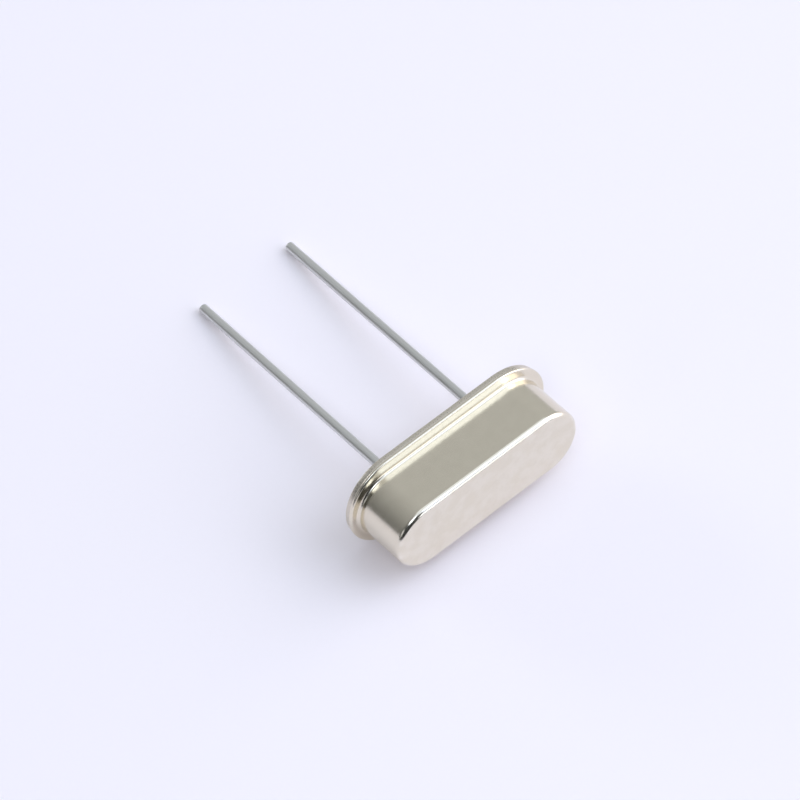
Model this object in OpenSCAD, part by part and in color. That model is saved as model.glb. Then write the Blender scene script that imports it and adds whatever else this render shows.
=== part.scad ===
// Low-profile quartz crystal unit: a drawn metal can welded to a stamped base, with two wire
// leads sealed in glass beads, and a thin quartz blank held between spring clips inside.
//
// Every piece is drawn upright in the unit's own axes. X runs from lead to lead, Y is the thin
// way, and Z is the can's axis, with the board at z = 0, the leads below it and the can above.
// lie() then lays the unit on its side, as it comes to rest on a table: on both lead ends and
// on the lower edge of the can's flange, with the closed end just off the table.

/* [Can] */
// Length of the can's body
can_l = 9.9; // [9.6:0.05:10.2]
// Width of the can's body
can_w = 3.4; // [3.2:0.05:3.7]
// Height of the closed end above the board
can_h = 3.12; // [2.9:0.01:3.6]
// Thickness of the can's sheet
can_t = 0.16; // [0.12:0.01:0.2]
// Outside radius of the bend round the closed end
crown_r = 0.25; // [0.22:0.01:0.4]
// Outside radius of the bend from the wall into the flange
root_r = 0.15; // [0.12:0.01:0.3]
// Length of the trimmed flange
flange_l = 10.75; // [10.6:0.05:11.05]
// Width of the trimmed flange
flange_w = 4.65; // [4.55:0.05:5]

/* [Base] */
// Thickness of the base's flange
base_t = 0.26; // [0.12:0.01:0.3]
// How far the base's edge lies inside the edge of the can's flange
base_inset = 0.05; // [0.02:0.01:0.15]
// Height of the raised platform over the base's flange
platform_h = 0.55; // [0.4:0.05:0.8]
// Gap between the platform and the inside of the can's wall
platform_gap = 0.12; // [0.05:0.01:0.2]
// Radius of the platform's upper edge
platform_edge_r = 0.12; // [0.05:0.01:0.2]

/* [Leads and glass] */
// Distance between the centres of the two leads
lead_pitch = 4.88; // [4.7:0.02:5.08]
// Diameter of the tinned lead wire
lead_d = 0.43; // [0.4:0.01:0.5]
// Length of each lead below the board's surface
lead_len = 13.4; // [12:0.1:15]
// Chamfer on the cut end of each lead
lead_chamfer = 0.05; // [0.03:0.01:0.1]
// Thickness of the tin on the part of the lead outside the glass
tin_t = 0.01; // [0.005:0.005:0.02]
// Diameter of each glass bead
glass_d = 1.4; // [1.2:0.05:1.6]
// How far the glass creeps along the wire at each face of the bead
glass_creep = 0.08; // [0.05:0.01:0.12]
// Diameter of the flattened head at the lead's inner end
head_d = 0.84; // [0.7:0.02:1]
// Thickness of the flattened head
head_t = 0.12; // [0.08:0.01:0.2]
// Height of the head's underside over the platform
head_rise = 0.22; // [0.16:0.01:0.3]

/* [Crystal] */
// Length of the quartz blank
blank_l = 8; // [7.7:0.05:8.2]
// Width of the quartz blank
blank_w = 1.8; // [1.6:0.05:2]
// Thickness of the quartz blank
blank_t = 0.17; // [0.12:0.01:0.3]
// Length of the bevel ground on each end of the blank
bevel_l = 0.8; // [0.5:0.05:1.2]
// Thickness that the bevel leaves at each end of the blank
bevel_t = 0.09; // [0.06:0.01:0.11]
// Length of each electrode
electrode_l = 4.2; // [3.6:0.1:4.8]
// Width of each electrode
electrode_w = 1.3; // [1:0.05:1.5]
// Width of the tab from an electrode to the blank's end
tab_w = 0.6; // [0.4:0.05:0.8]
// Thickness of the electrode film
film_t = 0.02; // [0.01:0.005:0.03]

/* [Clips] */
// Thickness of the clip's strip
clip_t = 0.1; // [0.08:0.01:0.12]
// Width of the clip's strip
clip_w = 1.5; // [1.2:0.05:1.7]
// Inside radius of each bend in the strip
clip_bend_r = 0.06; // [0.03:0.01:0.08]
// Height of the shelf's top over the top of the lead's head
shelf_rise = 0.5; // [0.4:0.02:0.7]
// Length of the shelf that lies under the blank
shelf_l = 0.75; // [0.6:0.05:0.9]
// Height of the lip over the shelf
lip_h = 0.32; // [0.25:0.01:0.45]
// Clearance between the blank's end and the lip
lip_gap = 0.06; // [0.03:0.01:0.1]
// Diameter of each drop of adhesive
drop_d = 0.9; // [0.7:0.05:1.1]
// Thickness of adhesive between the shelf and the blank
bond_t = 0.05; // [0.03:0.01:0.08]
// Height of the drop over the blank
drop_h = 0.12; // [0.08:0.01:0.2]

/* [Hidden] */
$fn = 96;

LEFT = -1;
RIGHT = 1;
lead_r = lead_d / 2;
bare_r = lead_r - tin_t;
glass_r = glass_d / 2;
head_r = head_d / 2;
drop_r = drop_d / 2;

// Half the distance between the two end centres that the can and the platform are swept round
end_x = (can_l - can_w) / 2;
platform_r = can_w / 2 - can_t - platform_gap;

// Heights in the unit's own axes
platform_z = base_t + platform_h;
head_z = platform_z + head_rise;
foot_z = head_z + head_t;
shelf_z = foot_z + shelf_rise;
blank_z = shelf_z + bond_t + film_t;

// Places of the clip's bends along X, counted outwards from the middle of the unit
lip_x = blank_l / 2 + lip_gap;
riser_x = lip_x - shelf_l - clip_t;
foot_x = lead_pitch / 2 - head_r;

// Angle and shift that bring both lead ends and the flange's lower edge down to the table
tip_len = lead_len - lead_chamfer;
lie_angle = atan((flange_w / 2 - lead_r) / (tip_len + base_t));
reach_back = (lead_r - lead_chamfer) * sin(lie_angle) + lead_len * cos(lie_angle);
crown_y = can_w / 2 - crown_r;
crown_z = can_h - crown_r;
reach_front = crown_y * sin(lie_angle) + crown_z * cos(lie_angle) + crown_r;
lie_y = (reach_front - reach_back) / 2;
lie_z = flange_w / 2 * cos(lie_angle) - base_t * sin(lie_angle);

// Lays the upright unit on its side
module lie() {
    translate([0, lie_y, lie_z]) rotate([90 - lie_angle, 0, 0]) children();
}

// Outline with straight sides and half-round ends
module obround(length, width) {
    square([length - width, width], center = true);
    for (side = [LEFT, RIGHT]) translate([side * (length - width) / 2, 0]) circle(d = width);
}

// Carries half a section round the oval path of the can: along both sides and round both ends
module sweep_oval() {
    for (turn = [-90, 90]) {
        rotate([0, 0, turn]) translate([0, end_x, 0]) rotate_extrude(angle = 180) children();
    }
    rotate([90, 0, 90]) linear_extrude(2 * end_x, center = true) {
        children();
        mirror([1, 0]) children();
    }
}

// Quarter of a ring, with its bend centre at the origin, in the quadrant that signs name
module quarter_ring(inner_r, thickness, signs) {
    outer_r = inner_r + thickness;
    intersection() {
        difference() {
            circle(outer_r);
            circle(inner_r);
        }
        scale([signs[0], signs[1]]) square(outer_r);
    }
}

// Half section of the can: one sheet that runs from the crown down the wall into the flange
module can_section() {
    wall_foot_z = base_t + can_t + root_r;
    translate([0, can_h - can_t]) square([crown_y, can_t]);
    translate([crown_y, crown_z]) quarter_ring(crown_r - can_t, can_t, [1, 1]);
    translate([can_w / 2 - can_t, wall_foot_z]) square([can_t, crown_z - wall_foot_z]);
    translate([can_w / 2 + root_r, wall_foot_z]) quarter_ring(root_r, can_t, [-1, -1]);
    translate([can_w / 2 + root_r, base_t]) square([flange_l / 2, can_t]);
}

// The can is drawn from one sheet, and its flange is trimmed to an outline of its own
module upright_can() {
    color("#c9c5b8") intersection() {
        sweep_oval() can_section();
        linear_extrude(2 * can_h) obround(flange_l, flange_w);
    }
}

// The base is stamped: a flat flange with a platform that stands up inside the can
module upright_base() {
    color("#b9b6aa") difference() {
        union() {
            linear_extrude(base_t) {
                obround(flange_l - 2 * base_inset, flange_w - 2 * base_inset);
            }
            sweep_oval() platform_section();
        }
        for (side = [LEFT, RIGHT]) {
            translate([side * lead_pitch / 2, 0, -base_t]) cylinder(h = 3 * platform_z, d = glass_d);
        }
    }
}

// Half section of the platform, with its upper edge rounded
module platform_section() {
    edge_z = platform_z - platform_edge_r;
    square([platform_r, edge_z]);
    square([platform_r - platform_edge_r, platform_z]);
    translate([platform_r - platform_edge_r, edge_z]) {
        quarter_ring(0, platform_edge_r, [1, 1]);
    }
}

// A glass bead that fills its hole and creeps a little way along the wire at both faces
module upright_glass_seal(side) {
    color("#2f4a45") translate([side * lead_pitch / 2, 0, 0]) {
        rotate_extrude() {
            polygon([
                [bare_r, -glass_creep], [bare_r + glass_creep, 0], [glass_r, 0],
                [glass_r, platform_z], [bare_r + glass_creep, platform_z],
                [bare_r, platform_z + glass_creep]
            ]);
        }
    }
}

// A lead is one wire: tinned outside the glass, bare inside it, with a flattened inner head
module upright_lead(side) {
    color("#a8a8a4") translate([side * lead_pitch / 2, 0, 0]) {
        rotate_extrude() {
            polygon([
                [0, -lead_len], [lead_r - lead_chamfer, -lead_len], [lead_r, -tip_len],
                [lead_r, -glass_creep], [bare_r, -glass_creep], [bare_r, head_z],
                [head_r, head_z], [head_r, foot_z], [0, foot_z]
            ]);
        }
    }
}

// Side view of a clip: a foot on the lead's head, a riser, a shelf and an end lip
module clip_section() {
    bend_out = clip_bend_r + clip_t;
    shelf_low_z = shelf_z - clip_t;
    translate([foot_x, foot_z]) square([riser_x - clip_bend_r - foot_x, clip_t]);
    translate([riser_x - clip_bend_r, foot_z + bend_out]) {
        quarter_ring(clip_bend_r, clip_t, [1, -1]);
    }
    translate([riser_x, foot_z + bend_out]) {
        square([clip_t, shelf_low_z - clip_bend_r - foot_z - bend_out]);
    }
    translate([riser_x + bend_out, shelf_low_z - clip_bend_r]) {
        quarter_ring(clip_bend_r, clip_t, [-1, 1]);
    }
    translate([riser_x + bend_out, shelf_low_z]) {
        square([lip_x - clip_bend_r - riser_x - bend_out, clip_t]);
    }
    translate([lip_x - clip_bend_r, shelf_z + clip_bend_r]) {
        quarter_ring(clip_bend_r, clip_t, [1, -1]);
    }
    translate([lip_x, shelf_z + clip_bend_r]) square([clip_t, lip_h - clip_bend_r]);
}

// A spring clip is a bent strip whose foot is welded to the head of its lead
module upright_clip(side) {
    color("#b5b0a0") scale([side, 1, 1]) {
        rotate([90, 0, 0]) linear_extrude(clip_w, center = true) clip_section();
    }
}

// The blank is a thin quartz strip with both ends ground to a bevel on both faces
module upright_blank() {
    bevel_step = (blank_t - bevel_t) / 2;
    flat_x = blank_l / 2 - bevel_l;
    color("#dfe6e8") translate([0, 0, blank_z]) rotate([90, 0, 0]) {
        linear_extrude(blank_w, center = true) {
            polygon([
                [-blank_l / 2, bevel_step], [-flat_x, 0], [flat_x, 0], [blank_l / 2, bevel_step],
                [blank_l / 2, blank_t - bevel_step], [flat_x, blank_t], [-flat_x, blank_t],
                [-blank_l / 2, blank_t - bevel_step]
            ]);
        }
    }
}

// A film electrode with a tab that follows the flat of the blank towards one end
module upright_electrode(side, low_z) {
    tab_l = blank_l / 2 - bevel_l;
    color("#d9d9d4") translate([0, 0, low_z]) linear_extrude(film_t) {
        square([electrode_l, electrode_w], center = true);
        translate([side * tab_l / 2, 0]) square([tab_l, tab_w], center = true);
    }
}

// A drop of silver-filled adhesive that wraps the blank's end and holds it to the shelf
module upright_adhesive(side) {
    cap_z = blank_z + blank_t + drop_h;
    cap_r = (drop_r * drop_r + drop_h * drop_h) / (2 * drop_h);
    color("#8f9092") difference() {
        translate([side * (lip_x - drop_r), 0, 0]) intersection() {
            translate([0, 0, shelf_z]) cylinder(h = cap_z - shelf_z, r = drop_r);
            translate([0, 0, cap_z - cap_r]) sphere(cap_r);
        }
        upright_blank();
        upright_electrode(RIGHT, blank_z + blank_t);
        upright_electrode(LEFT, blank_z - film_t);
        upright_clip(side);
    }
}

module can() { lie() upright_can(); }
module base() { lie() upright_base(); }
module glass_seal_left() { lie() upright_glass_seal(LEFT); }
module glass_seal_right() { lie() upright_glass_seal(RIGHT); }
module lead_left() { lie() upright_lead(LEFT); }
module lead_right() { lie() upright_lead(RIGHT); }
module spring_clip_left() { lie() upright_clip(LEFT); }
module spring_clip_right() { lie() upright_clip(RIGHT); }
module quartz_blank() { lie() upright_blank(); }
module electrode_upper() { lie() upright_electrode(RIGHT, blank_z + blank_t); }
module electrode_lower() { lie() upright_electrode(LEFT, blank_z - film_t); }
module adhesive_left() { lie() upright_adhesive(LEFT); }
module adhesive_right() { lie() upright_adhesive(RIGHT); }

can();
base();
glass_seal_left();
glass_seal_right();
lead_left();
lead_right();
spring_clip_left();
spring_clip_right();
quartz_blank();
electrode_upper();
electrode_lower();
adhesive_left();
adhesive_right();
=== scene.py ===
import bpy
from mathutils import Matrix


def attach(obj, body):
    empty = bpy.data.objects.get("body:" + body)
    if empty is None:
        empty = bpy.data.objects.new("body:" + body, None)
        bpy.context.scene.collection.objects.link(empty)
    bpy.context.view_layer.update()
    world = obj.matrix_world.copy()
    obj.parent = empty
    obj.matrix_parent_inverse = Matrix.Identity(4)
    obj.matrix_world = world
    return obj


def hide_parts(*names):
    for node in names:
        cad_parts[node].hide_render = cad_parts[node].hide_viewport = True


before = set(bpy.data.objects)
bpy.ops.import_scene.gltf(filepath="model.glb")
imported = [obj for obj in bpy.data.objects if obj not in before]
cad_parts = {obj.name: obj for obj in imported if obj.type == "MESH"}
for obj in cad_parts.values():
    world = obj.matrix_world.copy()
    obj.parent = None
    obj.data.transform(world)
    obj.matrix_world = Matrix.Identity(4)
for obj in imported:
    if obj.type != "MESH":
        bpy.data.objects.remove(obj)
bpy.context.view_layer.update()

import math

import bpy
from mathutils import Matrix, Vector

# ---------------------------------------------------------------------------------------------
# Base. A steel stamping: a thin flange to weld the can to, and a platform that stands up inside
# the can and is thick enough to hold the glass. It is nickel plated after stamping. Every size
# below is in millimetres, in the unit's own upright axes: the board at 0, the can above it.
# ---------------------------------------------------------------------------------------------
can_length, can_width, can_height, sheet = 9.9, 3.4, 3.12, 0.16
flange_length, flange_width = 10.75, 4.65
base_thickness, base_inset = 0.26, 0.05
platform_top, platform_gap, platform_edge = 0.81, 0.12, 0.12
lead_pitch, lead_radius, lead_length, lead_chamfer = 4.88, 0.215, 13.4, 0.05
bead_radius = 0.7
crown_radius = 0.25

# The unit lies on its side, on both lead ends and on the lower edge of the can's flange
tip_length = lead_length - lead_chamfer
lie_angle = math.atan((flange_width / 2 - lead_radius) / (tip_length + base_thickness))
sine, cosine = math.sin(lie_angle), math.cos(lie_angle)
reach_back = (lead_radius - lead_chamfer) * sine + lead_length * cosine
reach_front = ((can_width / 2 - crown_radius) * sine
               + (can_height - crown_radius) * cosine + crown_radius)
lie_shift = Vector((0, (reach_front - reach_back) / 2,
                    flange_width / 2 * cosine - base_thickness * sine)) * 0.001
lie_down = (Matrix.Translation(lie_shift)
            @ Matrix.Rotation(math.radians(90) - lie_angle, 4, "X")
            @ Matrix.Scale(0.001, 4))


def linear(hex_colour):
    """A colour written as sRGB hex, as the linear values that a shader takes."""
    parts = [int(hex_colour[i:i + 2], 16) / 255 for i in (1, 3, 5)]
    return [c / 12.92 if c <= 0.04045 else ((c + 0.055) / 1.055) ** 2.4 for c in parts] + [1.0]


def add(tree, kind, inputs=None, **settings):
    """Adds a node with its settings; inputs holds values, and other nodes' sockets to link."""
    node = tree.nodes.new(kind)
    for name, value in settings.items():
        setattr(node, name, value)
    for name, value in (inputs or {}).items():
        if isinstance(value, bpy.types.NodeSocket):
            tree.links.new(value, node.inputs[name])
        else:
            node.inputs[name].default_value = value
    return node


def new_material(name):
    """An empty material, its node tree, and its pattern space: the unit's own axes in mm."""
    material = bpy.data.materials.new(name)
    material.use_nodes = True
    tree = material.node_tree
    tree.nodes.clear()
    place = add(tree, "ShaderNodeTexCoord").outputs["Object"]
    stand_up = add(tree, "ShaderNodeMapping", {
        "Vector": place, "Location": lie_shift, "Rotation": (math.radians(90) - lie_angle, 0, 0),
    }, vector_type="TEXTURE")
    millimetres = add(tree, "ShaderNodeVectorMath", {
        0: stand_up.outputs[0], "Scale": 1000.0}, operation="SCALE")
    return material, tree, millimetres.outputs[0]


def finish_material(tree, shader):
    add(tree, "ShaderNodeOutputMaterial", {"Surface": shader.outputs[0]})


# Nickel over rolled and stamped steel: a warm grey mirror that the strip's rolled grain and the
# tumbling before plating have made satin, with cloudy patches a millimetre or so across
base_nickel, tree, mm = new_material("Nickel plated stamped steel")
clouds = add(tree, "ShaderNodeTexNoise", {"Vector": mm, "Scale": 0.9, "Detail": 3.0})
pits = add(tree, "ShaderNodeTexNoise", {"Vector": mm, "Scale": 14.0, "Detail": 4.0})
tone = add(tree, "ShaderNodeMix", {
    0: clouds.outputs["Fac"], 6: linear("#DDD5C6"), 7: linear("#CFC7B9")}, data_type="RGBA")
satin = add(tree, "ShaderNodeMapRange", {
    "Value": pits.outputs["Fac"], "From Min": 0.3, "From Max": 0.7, "To Min": 0.22, "To Max": 0.4})
relief = add(tree, "ShaderNodeBump", {
    "Height": pits.outputs["Fac"], "Strength": 0.2, "Distance": 0.000004})
finish_material(tree, add(tree, "ShaderNodeBsdfPrincipled", {
    "Base Color": tone.outputs[2], "Roughness": satin.outputs[0], "Normal": relief.outputs[0],
    "Metallic": 1.0}))

# The rule for every pressed and turned form here. A row of the section holds a radius, a height
# and how far its two end centres stand from the middle. Each row is carried half a turn round
# one centre and half a turn round the other, which draws an oval, or a circle where the centres
# meet. Rows of radius 0 close the form.
form_tree = bpy.data.node_groups.new("Form round two centres", "GeometryNodeTree")
for name, kind in (("Section", "NodeSocketObject"), ("Rows", "NodeSocketInt"),
                   ("Steps in half a turn", "NodeSocketInt"), ("Finish", "NodeSocketMaterial")):
    form_tree.interface.new_socket(name, in_out="INPUT", socket_type=kind)
form_tree.interface.new_socket("Form", in_out="OUTPUT", socket_type="NodeSocketGeometry")


def sum_node(operation, *values):
    """A Math node of the form tree on up to two values, as its output socket."""
    return add(form_tree, "ShaderNodeMath", dict(enumerate(values)), operation=operation).outputs[0]


given = add(form_tree, "NodeGroupInput")
half_count = sum_node("ADD", given.outputs["Steps in half a turn"], 1.0)
column_count = sum_node("ADD", sum_node("MULTIPLY", half_count, 2.0), 1.0)
sheet_of_points = add(form_tree, "GeometryNodeMeshGrid", {
    "Vertices X": given.outputs["Rows"], "Vertices Y": column_count})
index = add(form_tree, "GeometryNodeInputIndex").outputs[0]
row = sum_node("FLOOR", sum_node("DIVIDE", sum_node("ADD", index, 0.5), column_count))
column = sum_node("SUBTRACT", index, sum_node("MULTIPLY", row, column_count))
half = sum_node("FLOOR", sum_node("DIVIDE", sum_node("ADD", column, 0.5), half_count))
step = sum_node("SUBTRACT", column, sum_node("MULTIPLY", half, half_count))
turn = sum_node("MULTIPLY", math.pi, sum_node("ADD", sum_node("SUBTRACT", half, 0.5), sum_node(
    "DIVIDE", step, given.outputs["Steps in half a turn"])))
side = sum_node("SUBTRACT", 1.0, sum_node("MULTIPLY", 2.0, sum_node("FLOORED_MODULO", half, 2.0)))
section_shape = add(form_tree, "GeometryNodeObjectInfo", {0: given.outputs["Section"]})
section_row = add(form_tree, "GeometryNodeSampleIndex", {
    "Geometry": section_shape.outputs["Geometry"],
    "Value": add(form_tree, "GeometryNodeInputPosition").outputs[0], "Index": row,
}, data_type="FLOAT_VECTOR", domain="POINT")
row_values = add(form_tree, "ShaderNodeSeparateXYZ", {0: section_row.outputs[0]})
place = add(form_tree, "ShaderNodeCombineXYZ", {
    "X": sum_node("ADD", sum_node("MULTIPLY", side, row_values.outputs["Z"]),
                  sum_node("MULTIPLY", row_values.outputs["X"], sum_node("COSINE", turn))),
    "Y": sum_node("MULTIPLY", row_values.outputs["X"], sum_node("SINE", turn)),
    "Z": row_values.outputs["Y"]})
drawn_out = add(form_tree, "GeometryNodeSetPosition", {
    "Geometry": sheet_of_points.outputs["Mesh"], "Position": place.outputs[0]})
closed = add(form_tree, "GeometryNodeMergeByDistance", {
    "Geometry": drawn_out.outputs[0], "Distance": 0.0015})
smooth = add(form_tree, "GeometryNodeSetShadeSmooth", {"Geometry": closed.outputs[0]})
real = add(form_tree, "GeometryNodeRealizeInstances", {"Geometry": smooth.outputs[0]})
finished = add(form_tree, "GeometryNodeSetMaterial", {
    "Geometry": real.outputs[0], "Material": given.outputs["Finish"]})
add(form_tree, "NodeGroupOutput", {0: finished.outputs[0]})


def arc(radius, height, bend, start, end, centres=0.0, steps=8):
    """Rows along part of a circle about (radius, height), from one angle in degrees to another."""
    angles = [math.radians(start + (end - start) * i / steps) for i in range(steps + 1)]
    return [(radius + bend * math.cos(a), height + bend * math.sin(a), centres) for a in angles]


def made(holder, name):
    """The evaluated shape of an object as a plain mesh object of that name; the object goes."""
    shape = bpy.data.meshes.new_from_object(holder.evaluated_get(
        bpy.context.evaluated_depsgraph_get()))
    bpy.data.objects.remove(holder)
    piece = bpy.data.objects.new(name, shape)
    bpy.context.scene.collection.objects.link(piece)
    return piece


def form(name, rows, material, steps=64):
    """Carries the section's rows round their centres, upright and in mm."""
    line = bpy.data.meshes.new(name + "_section")
    line.from_pydata(rows, [], [])
    section = bpy.data.objects.new(name + "_section", line)
    holder = bpy.data.objects.new(name + "_form", bpy.data.meshes.new(name + "_form"))
    bpy.context.scene.collection.objects.link(section)
    bpy.context.scene.collection.objects.link(holder)
    modifier = holder.modifiers.new("Form", "NODES")
    modifier.node_group = form_tree
    values = {"Section": section, "Rows": len(rows), "Steps in half a turn": steps,
              "Finish": material}
    for item in form_tree.interface.items_tree:
        if item.in_out == "INPUT":
            modifier[item.identifier] = values[item.name]
    piece = made(holder, name)
    bpy.data.objects.remove(section)
    bpy.data.meshes.remove(line)
    return piece


def lay_on_table(piece, node):
    """Lays an upright piece on its side, and lets it stand for its CAD node."""
    piece.data.transform(lie_down)
    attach(piece, "root")
    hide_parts(node)


flange_centres = (flange_length - flange_width) / 2
body_centres = (can_length - can_width) / 2
base_edge = flange_width / 2 - base_inset
platform_wall = can_width / 2 - sheet - platform_gap
edge_round = 0.03
platform_round_at = platform_wall - platform_edge

# A row this far in from a bend or an edge keeps the flat beside it from shading as if it curved
by_edge, by_bend = 0.08, 0.05
underside_row = 1.2
base_rows = (
    [(0, 0, flange_centres), (underside_row, 0, flange_centres),
     (base_edge - by_edge, 0, flange_centres)]
    + arc(base_edge - edge_round, edge_round, edge_round, -90, 0, flange_centres, 4)
    + arc(base_edge - edge_round, base_thickness - edge_round, edge_round, 0, 90,
          flange_centres, 4)
    + [(base_edge - by_edge, base_thickness, flange_centres),
       (platform_wall + edge_round, base_thickness, body_centres)]
    + arc(platform_wall + edge_round, base_thickness + edge_round, edge_round, -90, -180,
          body_centres, 3)
    + arc(platform_round_at, platform_top - platform_edge, platform_edge, 0, 90, body_centres)
    + [(platform_round_at - by_bend, platform_top, body_centres),
       (0, platform_top, body_centres)])
base = form("base_stamping", base_rows, base_nickel)

# Each hole is pierced from the platform's side, which rolls the metal at both its mouths. The
# punch reaches past both faces and widens there.
mouth, past_face, widening = 0.04, 0.4, 0.3
mouth_radius = bead_radius + mouth
hole_rows = [
    (0, -past_face, 0), (mouth_radius + widening, -past_face, 0), (mouth_radius, 0, 0),
    (bead_radius, mouth, 0), (bead_radius, platform_top - mouth, 0),
    (mouth_radius, platform_top, 0), (mouth_radius + widening, platform_top + past_face, 0),
    (0, platform_top + past_face, 0)]
for side_name, side_x in (("left", -lead_pitch / 2), ("right", lead_pitch / 2)):
    punch = form("punch_" + side_name, hole_rows, base_nickel, 32)
    punch.data.transform(Matrix.Translation((side_x, 0, 0)))
    cut = base.modifiers.new("Pierce", "BOOLEAN")
    cut.operation, cut.object, cut.solver = "DIFFERENCE", punch, "EXACT"
    base = made(base, "base_stamping")
    bpy.data.objects.remove(punch)
base.data.shade_smooth()
base.data.set_sharp_from_angle(angle=math.radians(35))
lay_on_table(base, "base")

# ---------------------------------------------------------------------------------------------
# Glass seals. A bead of sealing glass is melted in each hole round its lead. Molten glass wets
# both metals, so the face dips between the hole's mouth and the wire, and climbs the wire.
# ---------------------------------------------------------------------------------------------

# Sealing glass, fired: a black-green gloss with a slight ripple and a few tiny bubbles under
# the skin
seal_glass, tree, mm = new_material("Fired sealing glass")
swirl = add(tree, "ShaderNodeTexNoise", {"Vector": mm, "Scale": 3.0, "Detail": 2.0})
bubbles = add(tree, "ShaderNodeTexVoronoi", {"Vector": mm, "Scale": 9.0})
bubble = add(tree, "ShaderNodeMapRange", {
    "Value": bubbles.outputs["Distance"], "From Min": 0.1, "From Max": 0.22,
    "To Min": 1.0, "To Max": 0.0})
dark = add(tree, "ShaderNodeMix", {
    0: swirl.outputs["Fac"], 6: linear("#16221E"), 7: linear("#2B3D36")}, data_type="RGBA")
spots = add(tree, "ShaderNodeMix", {
    0: bubble.outputs[0], 6: dark.outputs[2], 7: linear("#4B5F55")}, data_type="RGBA")
gloss = add(tree, "ShaderNodeMapRange", {
    "Value": swirl.outputs["Fac"], "To Min": 0.05, "To Max": 0.16})
ripple = add(tree, "ShaderNodeBump", {
    "Height": swirl.outputs["Fac"], "Strength": 0.4, "Distance": 0.00002})
finish_material(tree, add(tree, "ShaderNodeBsdfPrincipled", {
    "Base Color": spots.outputs[2], "Roughness": gloss.outputs[0], "Normal": ripple.outputs[0],
    "IOR": 1.52}))

# The glass climbs the bare wire by creep, its face dips by dip, and its side laps a little into
# the hole's wall
tin_coat = 0.01
creep, bare_radius = 0.08, lead_radius - tin_coat
dip, spread = 0.035, 0.3
rim_in, rim_up = 0.02, 0.012
lap, lap_from = 0.01, 0.03
face_low = ([(bare_radius, -creep, 0)]
            + [(bare_radius + creep * t + spread * t * t, dip - (dip + creep) * (1 - t) ** 2, 0)
               for t in (0.15, 0.3, 0.45, 0.6, 0.75, 0.9)]
            + [(bead_radius - by_edge, dip * 0.6, 0), (bead_radius - rim_in, rim_up, 0)])
seal_rows = (face_low + [(bead_radius + lap, lap_from, 0)]
             + [(bead_radius + lap, platform_top - lap_from, 0)]
             + [(r, platform_top - h, 0) for r, h, _ in reversed(face_low)])
for side_name, side_x in (("left", -lead_pitch / 2), ("right", lead_pitch / 2)):
    seal = form("glass_bead_" + side_name, seal_rows + seal_rows[:1], seal_glass, 32)
    seal.data.transform(Matrix.Translation((side_x, 0, 0)))
    lay_on_table(seal, "glass_seal_" + side_name)

# ---------------------------------------------------------------------------------------------
# Leads. Each is a length of iron-alloy wire, drawn, cut off and sealed through its bead, with an
# upset head inside that carries a clip. The part outside the glass is dipped in tin.
# ---------------------------------------------------------------------------------------------

# Hot-dipped tin on drawn wire: cool grey, brighter and smoother in runs where the tin flowed,
# duller between them, with faint lines along the wire from the drawing die. The real lines are
# a hundredth of a millimetre apart, too fine to see, so they are drawn about ten times coarser
tinned_wire, tree, mm = new_material("Hot dipped tin on drawn wire")
along = add(tree, "ShaderNodeMapping", {"Vector": mm, "Scale": (9.0, 9.0, 0.35)})
drawn = add(tree, "ShaderNodeTexNoise", {"Vector": along.outputs[0], "Scale": 1.0, "Detail": 1.0})
runs = add(tree, "ShaderNodeTexNoise", {"Vector": mm, "Scale": 0.7, "Detail": 1.0})
tone = add(tree, "ShaderNodeMix", {
    0: runs.outputs["Fac"], 6: linear("#CFCFCB"), 7: linear("#DEDEDA")}, data_type="RGBA")
satin = add(tree, "ShaderNodeMapRange", {
    "Value": runs.outputs["Fac"], "From Min": 0.3, "From Max": 0.7, "To Min": 0.4, "To Max": 0.3})
relief = add(tree, "ShaderNodeBump", {
    "Height": drawn.outputs["Fac"], "Strength": 0.2, "Distance": 0.000006})
finish_material(tree, add(tree, "ShaderNodeBsdfPrincipled", {
    "Base Color": tone.outputs[2], "Roughness": satin.outputs[0], "Normal": relief.outputs[0],
    "Metallic": 1.0}))

head_radius, head_low, head_top, head_round = 0.42, 1.03, 1.15, 0.03
head_round_at = head_radius - head_round

# The rounds at both ends of the tip's chamfer sit back by tip_back, so that they meet its slope
tip_round, tip_back, tip_row = 0.02, 0.008, 0.03
wire_from, wire_step, wire_rows = -13.2, 0.4, 33
chamfer_at = lead_radius - lead_chamfer
lead_rows = (
    [(0, -lead_length, 0), (chamfer_at - tip_row, -lead_length, 0)]
    + arc(chamfer_at - tip_back, -lead_length + tip_round, tip_round, -90, -45, 0, 3)
    + arc(lead_radius - tip_round, -tip_length + tip_back, tip_round, -45, 0, 0, 3)
    + [(lead_radius, wire_from + wire_step * i, 0) for i in range(wire_rows)]
    + [(lead_radius, -creep, 0), (bare_radius, -creep, 0), (bare_radius, head_low, 0),
       (head_round_at, head_low, 0)]
    + arc(head_round_at, head_low + head_round, head_round, -90, 0, 0, 3)
    + arc(head_round_at, head_top - head_round, head_round, 0, 90, 0, 3)
    + [(0, head_top, 0)])
for side_name, side_x in (("left", -lead_pitch / 2), ("right", lead_pitch / 2)):
    lead = form("wire_lead_" + side_name, lead_rows, tinned_wire, 32)
    lead.data.transform(Matrix.Translation((side_x, 0, 0)))
    lead.data.set_sharp_from_angle(angle=math.radians(50))
    lay_on_table(lead, "lead_" + side_name)


# ---------------------------------------------------------------------------------------------
# Crystal. Inside the can, a spring clip of thin strip stands on each lead's head and holds one
# end of the quartz blank, which carries a silver electrode on each face. A drop of
# silver-filled adhesive at each end holds the blank and joins its electrode to the clip.
# ---------------------------------------------------------------------------------------------
def dress(node, material):
    """Gives a CAD node its finish; its shape is the CAD's own."""
    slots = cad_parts[node].data.materials
    slots.clear()
    slots.append(material)


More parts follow.
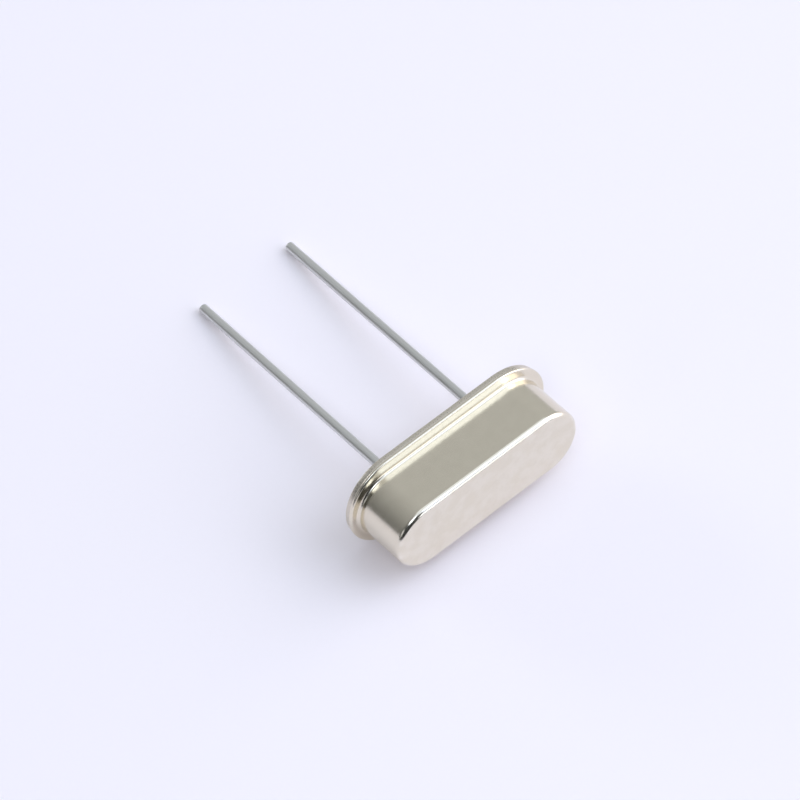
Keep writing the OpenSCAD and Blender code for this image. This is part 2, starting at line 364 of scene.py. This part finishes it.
# Nickel-silver spring strip, rolled and bent: a pale yellow-grey metal with a fine grain that
# runs along the strip
spring_strip, tree, mm = new_material("Rolled nickel silver strip")
grain_space = add(tree, "ShaderNodeMapping", {"Vector": mm, "Scale": (0.6, 12.0, 0.6)})
grain = add(tree, "ShaderNodeTexNoise", {"Vector": grain_space.outputs[0], "Scale": 2.0,
                                         "Detail": 4.0})
tone = add(tree, "ShaderNodeMix", {
    0: grain.outputs["Fac"], 6: linear("#CDC3A8"), 7: linear("#BDB49C")}, data_type="RGBA")
satin = add(tree, "ShaderNodeMapRange", {
    "Value": grain.outputs["Fac"], "To Min": 0.25, "To Max": 0.42})
relief = add(tree, "ShaderNodeBump", {
    "Height": grain.outputs["Fac"], "Strength": 0.3, "Distance": 0.000005})
finish_material(tree, add(tree, "ShaderNodeBsdfPrincipled", {
    "Base Color": tone.outputs[2], "Roughness": satin.outputs[0], "Normal": relief.outputs[0],
    "Metallic": 1.0}))
dress("spring_clip_left", spring_strip)
dress("spring_clip_right", spring_strip)

# Lapped quartz: clear crystal whose ground faces scatter light, so that it looks like
# frosted glass
lapped_quartz, tree, mm = new_material("Lapped quartz crystal")
lapping = add(tree, "ShaderNodeTexNoise", {"Vector": mm, "Scale": 40.0, "Detail": 3.0})
tone = add(tree, "ShaderNodeMix", {
    0: lapping.outputs["Fac"], 6: linear("#F4F7F8"), 7: linear("#E3EAED")}, data_type="RGBA")
frosting = add(tree, "ShaderNodeMapRange", {
    "Value": lapping.outputs["Fac"], "To Min": 0.3, "To Max": 0.5})
relief = add(tree, "ShaderNodeBump", {
    "Height": lapping.outputs["Fac"], "Strength": 0.2, "Distance": 0.000003})
finish_material(tree, add(tree, "ShaderNodeBsdfPrincipled", {
    "Base Color": tone.outputs[2], "Roughness": frosting.outputs[0],
    "Normal": relief.outputs[0], "Transmission Weight": 0.85, "IOR": 1.544}))
dress("quartz_blank", lapped_quartz)

# Evaporated silver: a thin bright film that copies the lapped face under it
silver_film, tree, mm = new_material("Evaporated silver film")
haze = add(tree, "ShaderNodeTexNoise", {"Vector": mm, "Scale": 1.6, "Detail": 3.0})
tone = add(tree, "ShaderNodeMix", {
    0: haze.outputs["Fac"], 6: linear("#F3F1EB"), 7: linear("#DFDCD2")}, data_type="RGBA")
satin = add(tree, "ShaderNodeMapRange", {
    "Value": haze.outputs["Fac"], "To Min": 0.16, "To Max": 0.34})
relief = add(tree, "ShaderNodeBump", {
    "Height": haze.outputs["Fac"], "Strength": 0.1, "Distance": 0.000004})
finish_material(tree, add(tree, "ShaderNodeBsdfPrincipled", {
    "Base Color": tone.outputs[2], "Roughness": satin.outputs[0], "Normal": relief.outputs[0],
    "Metallic": 1.0}))
dress("electrode_upper", silver_film)
dress("electrode_lower", silver_film)

# Silver-filled adhesive, cured: dull grey paste with flakes that catch the light
silver_adhesive, tree, mm = new_material("Cured silver filled adhesive")
flakes = add(tree, "ShaderNodeTexVoronoi", {"Vector": mm, "Scale": 22.0})
tone = add(tree, "ShaderNodeMix", {
    0: flakes.outputs["Distance"], 6: linear("#B3B4B5"), 7: linear("#87898B")},
    data_type="RGBA")
dullness = add(tree, "ShaderNodeMapRange", {
    "Value": flakes.outputs["Distance"], "To Min": 0.45, "To Max": 0.75})
relief = add(tree, "ShaderNodeBump", {
    "Height": flakes.outputs["Distance"], "Strength": 0.5, "Distance": 0.00001})
finish_material(tree, add(tree, "ShaderNodeBsdfPrincipled", {
    "Base Color": tone.outputs[2], "Roughness": dullness.outputs[0],
    "Normal": relief.outputs[0], "Metallic": 0.5}))
dress("adhesive_left", silver_adhesive)
dress("adhesive_right", silver_adhesive)

# ---------------------------------------------------------------------------------------------
# Can. One sheet, drawn into an oval cup with a flange, trimmed, and nickel plated. It is put
# over the crystal and its flange is welded to the base's all the way round.
# ---------------------------------------------------------------------------------------------

# Nickel on a drawn and tumbled can: warm and bright, with hair-fine lines up the wall where
# the die drew the metal, a mottled closed end, and patches rubbed bright along the crown
can_nickel, tree, mm = new_material("Nickel plated drawn can")
up_the_wall = add(tree, "ShaderNodeMapping", {"Vector": mm, "Scale": (5.0, 5.0, 0.3)})
draw_lines = add(tree, "ShaderNodeTexNoise", {
    "Vector": up_the_wall.outputs[0], "Scale": 2.2, "Detail": 5.0, "Roughness": 0.6})
mottle = add(tree, "ShaderNodeTexNoise", {
    "Vector": mm, "Scale": 1.7, "Detail": 4.0, "Roughness": 0.6})
scuffs = add(tree, "ShaderNodeTexNoise", {
    "Vector": mm, "Scale": 9.0, "Detail": 5.0, "Roughness": 0.7, "Distortion": 0.6})
crown_band, crown_reach = can_height - 0.3 * crown_radius, 0.6 * crown_radius
above = add(tree, "ShaderNodeMath", {
    0: add(tree, "ShaderNodeSeparateXYZ", {0: mm}).outputs["Z"], 1: crown_band,
}, operation="SUBTRACT")
off_crown = add(tree, "ShaderNodeMath", {0: above.outputs[0]}, operation="ABSOLUTE")
near_crown = add(tree, "ShaderNodeMapRange", {
    "Value": off_crown.outputs[0], "From Min": 0.0, "From Max": crown_reach,
    "To Min": 1.0, "To Max": 0.0})
patches = add(tree, "ShaderNodeMapRange", {
    "Value": mottle.outputs["Fac"], "From Min": 0.4, "From Max": 0.6})
rub = add(tree, "ShaderNodeMath", {
    0: near_crown.outputs[0], 1: patches.outputs[0]}, operation="MULTIPLY")
plate = add(tree, "ShaderNodeMix", {
    0: mottle.outputs["Fac"], 6: linear("#E8E0CE"), 7: linear("#DFD7C5")}, data_type="RGBA")
tone = add(tree, "ShaderNodeMix", {
    0: rub.outputs[0], 6: plate.outputs[2], 7: linear("#F0EADC")}, data_type="RGBA")
scuffed = add(tree, "ShaderNodeMapRange", {
    "Value": scuffs.outputs["Fac"], "From Min": 0.3, "From Max": 0.7,
    "To Min": 0.15, "To Max": 0.25})
satin = add(tree, "ShaderNodeMix", {
    0: rub.outputs[0], 2: scuffed.outputs[0], 3: 0.12}, data_type="FLOAT")
heights = add(tree, "ShaderNodeMix", {
    0: 0.5, 2: draw_lines.outputs["Fac"], 3: scuffs.outputs["Fac"]}, data_type="FLOAT")
relief = add(tree, "ShaderNodeBump", {
    "Height": heights.outputs[0], "Strength": 0.3, "Distance": 0.000006})
finish_material(tree, add(tree, "ShaderNodeBsdfPrincipled", {
    "Base Color": tone.outputs[2], "Roughness": satin.outputs[0], "Normal": relief.outputs[0],
    "Metallic": 1.0}))

root_radius, flange_round = 0.15, 0.08
wall, flange_edge = can_width / 2, flange_width / 2
inner_wall, inner_top = wall - sheet, can_height - sheet
crown_at, crown_height = wall - crown_radius, can_height - crown_radius
flange_top = base_thickness + sheet
foot, root_at = flange_top + root_radius, wall + root_radius

# The flange's end centres stand closer to the middle than the body's, and the row just outside
# the root bend begins the change
closed_end_row, by_wall_end, by_root, by_rim, centre_change = 0.7, 0.06, 0.04, 0.12, 0.02
can_rows = (
    [(0, can_height, body_centres), (closed_end_row, can_height, body_centres),
     (crown_at - by_bend, can_height, body_centres)]
    + arc(crown_at, crown_height, crown_radius, 90, 0, body_centres, 12)
    + [(wall, crown_height - by_wall_end, body_centres),
       (wall, (crown_height + foot) / 2, body_centres),
       (wall, foot + by_wall_end, body_centres)]
    + arc(root_at, foot, root_radius, 180, 270, body_centres, 10)
    + [(root_at + by_root, flange_top, body_centres - centre_change),
       (flange_edge - by_rim, flange_top, flange_centres)]
    + arc(flange_edge - flange_round, flange_top - flange_round, flange_round, 90, 0,
          flange_centres, 6)
    + arc(flange_edge - edge_round, base_thickness + edge_round, edge_round, 0, -90,
          flange_centres, 4)
    + [(flange_edge - by_edge, base_thickness, flange_centres)]
    + arc(root_at, foot, root_radius + sheet, 270, 180, body_centres, 10)
    + [(inner_wall, foot + by_wall_end, body_centres),
       (inner_wall, crown_height - by_wall_end, body_centres)]
    + arc(crown_at, crown_height, crown_radius - sheet, 0, 90, body_centres, 8)
    + [(crown_at - by_bend, inner_top, body_centres), (0, inner_top, body_centres)])
can = form("drawn_can", can_rows, can_nickel, 72)
lay_on_table(can, "can")

# ---------------------------------------------------------------------------------------------
# Table. A plain, matt, cool white board that the unit lies on.
# ---------------------------------------------------------------------------------------------

# Matt white laminate: a cool, even white with the faintest sheen and a grain too fine to see
white_board, tree, mm = new_material("Matt white laminate")
grain = add(tree, "ShaderNodeTexNoise", {"Vector": mm, "Scale": 6.0, "Detail": 3.0})
tone = add(tree, "ShaderNodeMix", {
    0: grain.outputs["Fac"], 6: linear("#FDF6F8"), 7: linear("#FFF8FA")}, data_type="RGBA")
relief = add(tree, "ShaderNodeBump", {
    "Height": grain.outputs["Fac"], "Strength": 0.05, "Distance": 0.00001})
finish_material(tree, add(tree, "ShaderNodeBsdfPrincipled", {
    "Base Color": tone.outputs[2], "Normal": relief.outputs[0], "Roughness": 0.7,
    "Specular IOR Level": 0.2}))
board_half = 3
board_mesh = bpy.data.meshes.new("table")
board_mesh.from_pydata([(x * board_half, y * board_half, 0) for x, y in (
    (-1, -1), (1, -1), (1, 1), (-1, 1))], [], [(0, 1, 2, 3)])
board_mesh.materials.append(white_board)
table = bpy.data.objects.new("table", board_mesh)
bpy.context.scene.collection.objects.link(table)

# ---------------------------------------------------------------------------------------------
# Light. Round softboxes in a plain grey room: a large low one at the front right is the main
# light, with a cooler one over it and a wide one overhead. A high one at the left fills the
# shadows, and three small low ones stand in front, at the left and at the back.
# ---------------------------------------------------------------------------------------------
aim = Vector((0.0, 0.0, 0.001))
softbox_distance = 0.6
for softbox_name, turn_deg, rise_deg, half_angle_deg, tint, radiance in (
        ("main_low", 335, 20, 32, "#F6F6FF", 1.98), ("main_high", 320, 50, 20, "#CFE0FF", 1.45),
        ("front_low", 290, 20, 15, "#F1F5FF", 1.8), ("overhead", 345, 76, 30, "#E2EDFF", 0.8),
        ("high_left", 215, 60, 14, "#E2EDFF", 3.2), ("side_left", 180, 20, 12, "#F1F5FF", 0.8),
        ("side_back", 108, 14, 12, "#F1F5FF", 3.0)):
    turn, rise = math.radians(turn_deg), math.radians(rise_deg)
    out_to = Vector((math.cos(rise) * math.cos(turn), math.cos(rise) * math.sin(turn),
                     math.sin(rise)))
    radius = softbox_distance * math.tan(math.radians(half_angle_deg))
    softbox = bpy.data.lights.new(softbox_name, "AREA")
    softbox.shape, softbox.size = "DISK", 2 * radius
    softbox.color = linear(tint)[:3]
    softbox.energy = math.pi ** 2 * radius ** 2 * radiance
    softbox_place = bpy.data.objects.new(softbox_name, softbox)
    softbox_place.location = aim + out_to * softbox_distance
    softbox_place.rotation_euler = out_to.to_track_quat("Z", "Y").to_euler()
    bpy.context.scene.collection.objects.link(softbox_place)

# The room is a plain grey that grows lighter towards its back right
room = bpy.data.worlds.new("studio")
room.use_nodes = True
room.node_tree.nodes.clear()
bright_side = Vector((0.556, 0.738, 0.384))
way = add(room.node_tree, "ShaderNodeTexCoord").outputs["Generated"]
towards = add(room.node_tree, "ShaderNodeVectorMath", {0: way, 1: bright_side},
              operation="DOT_PRODUCT")
share = add(room.node_tree, "ShaderNodeMapRange", {
    "Value": towards.outputs["Value"], "From Min": -0.36, "From Max": 1.0})
shade = add(room.node_tree, "ShaderNodeMix", {
    0: share.outputs[0], 6: linear("#3C3E40"), 7: linear("#C7CACD")}, data_type="RGBA")
glow = add(room.node_tree, "ShaderNodeBackground", {"Color": shade.outputs[2], "Strength": 1.0})
add(room.node_tree, "ShaderNodeOutputWorld", {"Surface": glow.outputs[0]})
bpy.context.scene.world = room

# ---------------------------------------------------------------------------------------------
# Camera. A long lens, looking down at the closed end and the upper side from the front left.
# ---------------------------------------------------------------------------------------------
azimuth, elevation, roll = math.radians(-38.43), math.radians(58.82), math.radians(-2.20)
back = Vector((math.sin(azimuth) * math.cos(elevation),
               -math.cos(azimuth) * math.cos(elevation), math.sin(elevation)))
level = Vector((math.cos(azimuth), math.sin(azimuth), 0))
across = level * math.cos(roll) + back.cross(level) * math.sin(roll)
up = back.cross(across)
camera_data = bpy.data.cameras.new("camera")
camera_data.lens, camera_data.sensor_width, camera_data.clip_start = 270.0, 36.0, 0.01
camera = bpy.data.objects.new("camera", camera_data)
target, camera_distance = Vector((0.331, -1.821, 2.0)) * 0.001, 0.25627
camera.matrix_world = (Matrix.Translation(target + back * camera_distance)
                       @ Matrix((across, up, back)).transposed().to_4x4())
bpy.context.scene.collection.objects.link(camera)
bpy.context.scene.camera = camera

bpy.context.scene.view_settings.view_transform = "Standard"
